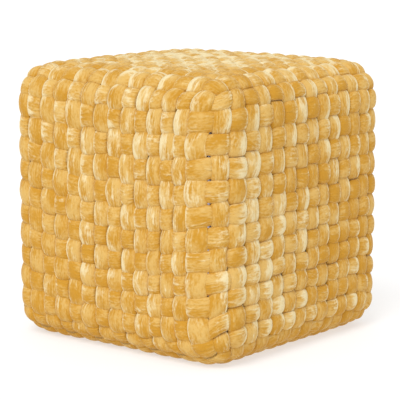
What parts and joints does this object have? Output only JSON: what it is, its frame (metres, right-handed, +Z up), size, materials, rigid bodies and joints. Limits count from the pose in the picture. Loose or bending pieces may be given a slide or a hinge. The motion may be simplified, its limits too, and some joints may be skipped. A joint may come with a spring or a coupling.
{
  "type": "cube ottoman",
  "caption": "Soft filled cube pouf with rounded edges and full faces, its cover a plain weave of flat padded crushed-velvet strips, standing on a flat base",
  "frame": {"origin": "centre of the flat base, on the surface that the pouf stands on", "axes": "+Z up; +X and -Y out of the two side faces that show in the picture, the near upright edge lies between them"},
  "size_m": [0.45, 0.45, 0.4459],
  "materials": {
    "ochre_velvet": "crushed velvet, soft pile with pale rubbed patches"
  },
  "bodies": {
    "root": {"woven_pouf": "ochre_velvet"}
  },
  "joints": []
}
